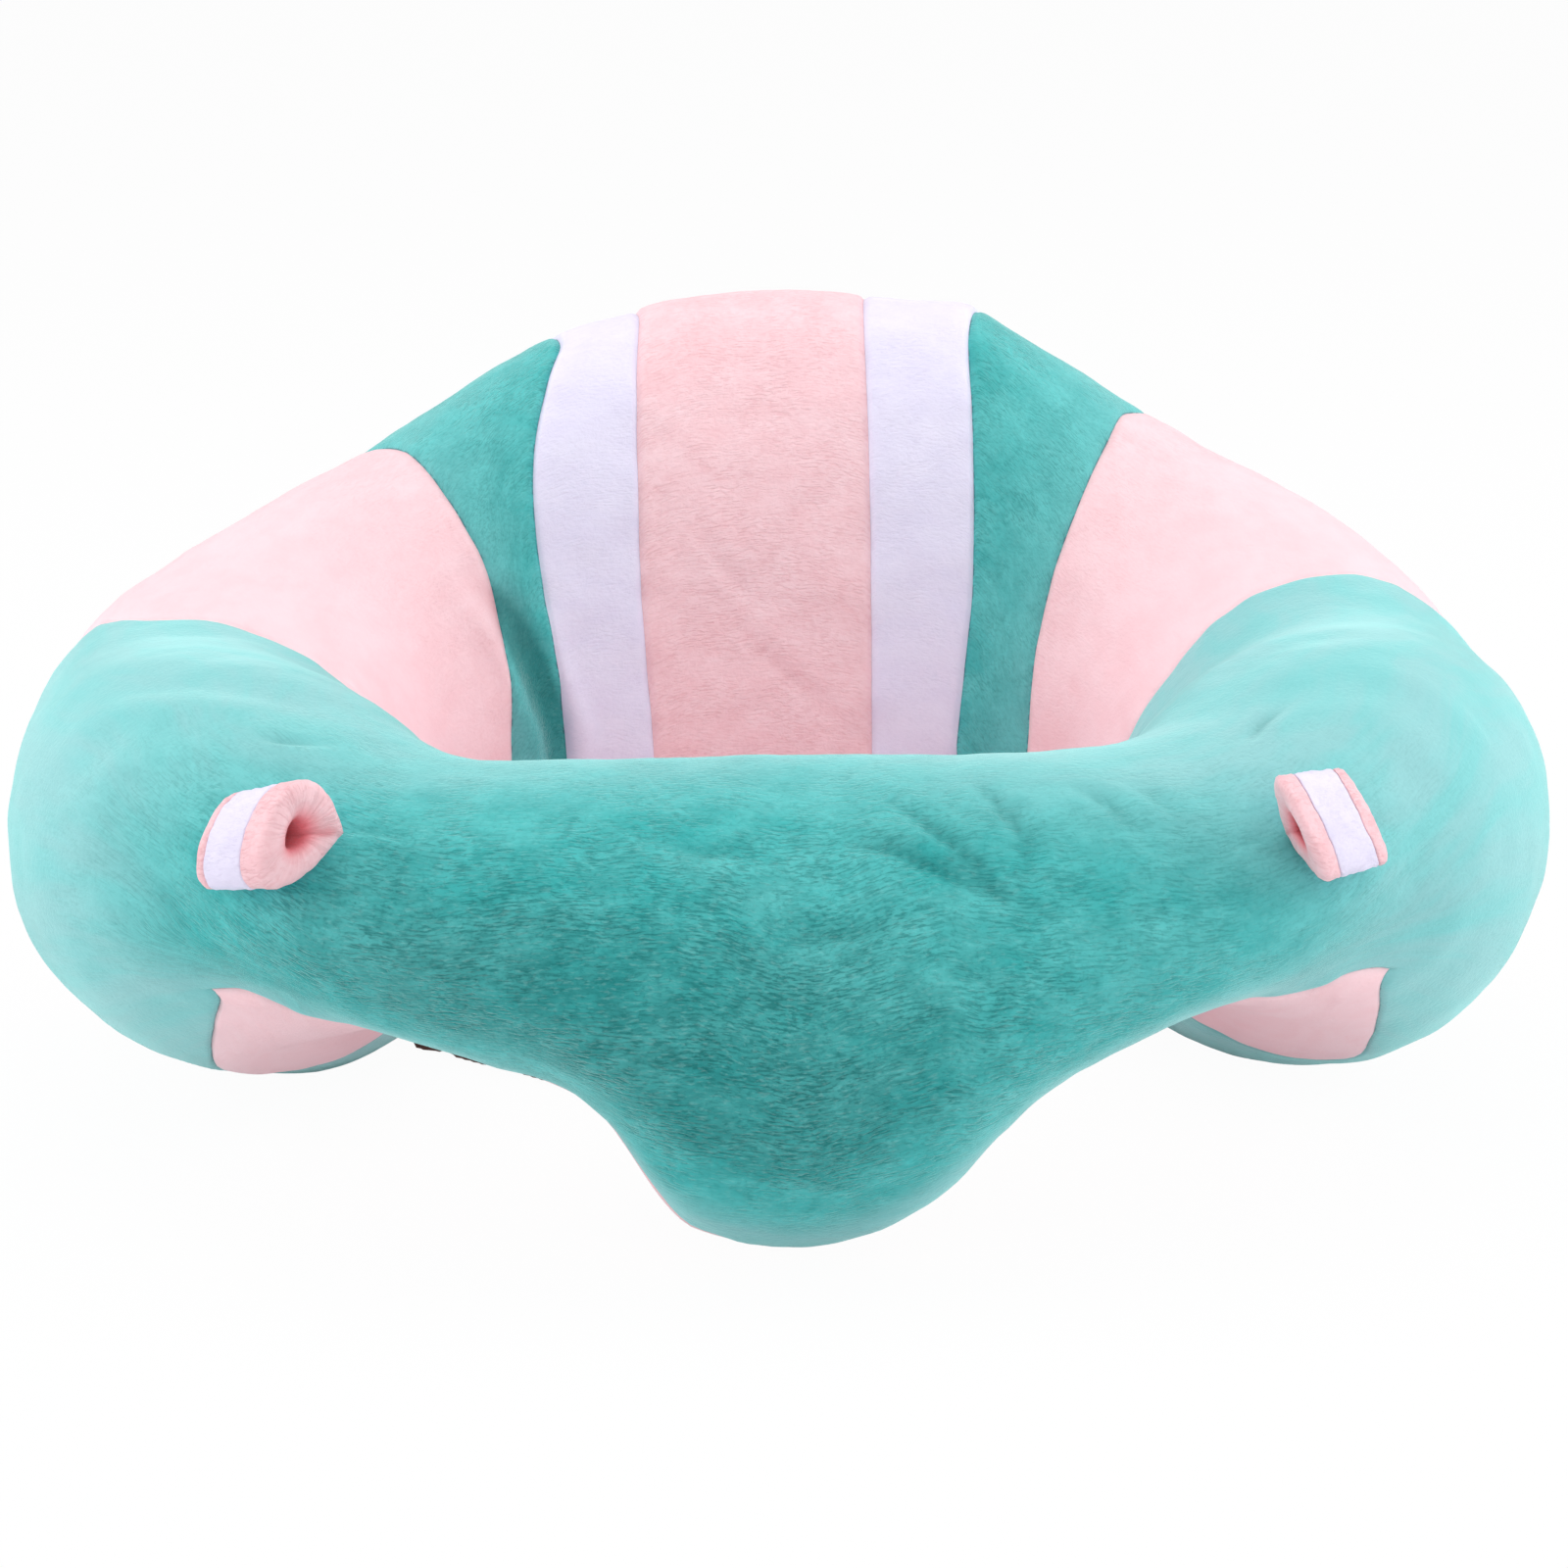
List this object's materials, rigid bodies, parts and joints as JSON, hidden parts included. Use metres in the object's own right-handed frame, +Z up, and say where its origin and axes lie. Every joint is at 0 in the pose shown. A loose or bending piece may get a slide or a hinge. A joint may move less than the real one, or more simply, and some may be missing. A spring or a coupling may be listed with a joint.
{
  "type": "baby floor seat",
  "caption": "Low stuffed plush ring with a high back, padded arms, a front bar over leg openings, a thin seat pad with a zipped sole, and toy loops on the bar.",
  "frame": {"origin": "on the floor under the middle of the outline", "axes": "+Z up, -Y is the front where the legs come out, +X is to the right in a front view"},
  "size_m": [0.4546, 0.4128, 0.206],
  "materials": {
    "teal_plush": "short-pile plush, matte with a soft sheen",
    "pink_plush": "short-pile plush, matte with a soft sheen",
    "lilac_plush": "short-pile plush, matte with a soft sheen",
    "pad_velour": "pressed short-pile plush, matte",
    "wadding": "loose polyester wadding, matte",
    "foam": "open-cell foam, matte",
    "quilted_sole": "quilted woven cloth, matte",
    "zip_tape": "woven tape, matte",
    "zip_brass": "satin"
  },
  "bodies": {
    "seat": {"front_cover": "teal_plush", "leg_lining": "pink_plush", "shoulder_right": "pink_plush", "shoulder_left": "pink_plush", "back_side_right": "teal_plush", "back_side_left": "teal_plush", "back_stripe_right": "lilac_plush", "back_stripe_left": "lilac_plush", "back_centre_panel": "pink_plush", "bar_filling": "wadding", "arm_filling_right": "wadding", "arm_filling_left": "wadding", "back_filling": "wadding", "seat_pad_cover": "pad_velour", "seat_foam": "foam", "sole_front": "quilted_sole", "sole_rear": "quilted_sole", "zip_tape_front": "zip_tape", "zip_tape_rear": "zip_tape", "zip_teeth_front": "zip_brass", "zip_teeth_rear": "zip_brass", "zip_stops": "zip_brass"},
    "zip_slider": {"zip_slider": "zip_brass"},
    "zip_pull": {"zip_pull": "zip_brass"},
    "toy_loop_right": {"toy_loop_right": "pink_plush", "loop_stripe_right": "lilac_plush"},
    "toy_loop_left": {"toy_loop_left": "pink_plush", "loop_stripe_left": "lilac_plush"}
  },
  "joints": [
    {"name": "zip_slide", "type": "slide", "parent": "seat", "child": "zip_slider", "axis": [1, 0, 0], "range_m": [-0.138, 0], "deforming": ["zip_teeth_front", "zip_teeth_rear"]},
    {"name": "zip_pull_hinge", "type": "hinge", "parent": "zip_slider", "child": "zip_pull", "pos_m": [0.079, 0.03565, 0.0017], "axis": [0, -1, 0], "range_deg": [0, 140]},
    {"name": "loop_right_flop", "type": "hinge", "parent": "seat", "child": "toy_loop_right", "pos_m": [0.12984, -0.16132, 0.11386], "axis": [0.7256, 0.652, 0.2198], "range_deg": [-30, 10], "stiffness_Nm_per_rad": 0.02},
    {"name": "loop_left_flop", "type": "hinge", "parent": "seat", "child": "toy_loop_left", "pos_m": [-0.12984, -0.16132, 0.11386], "axis": [0.7256, -0.652, -0.2198], "range_deg": [-30, 10], "stiffness_Nm_per_rad": 0.02}
  ]
}
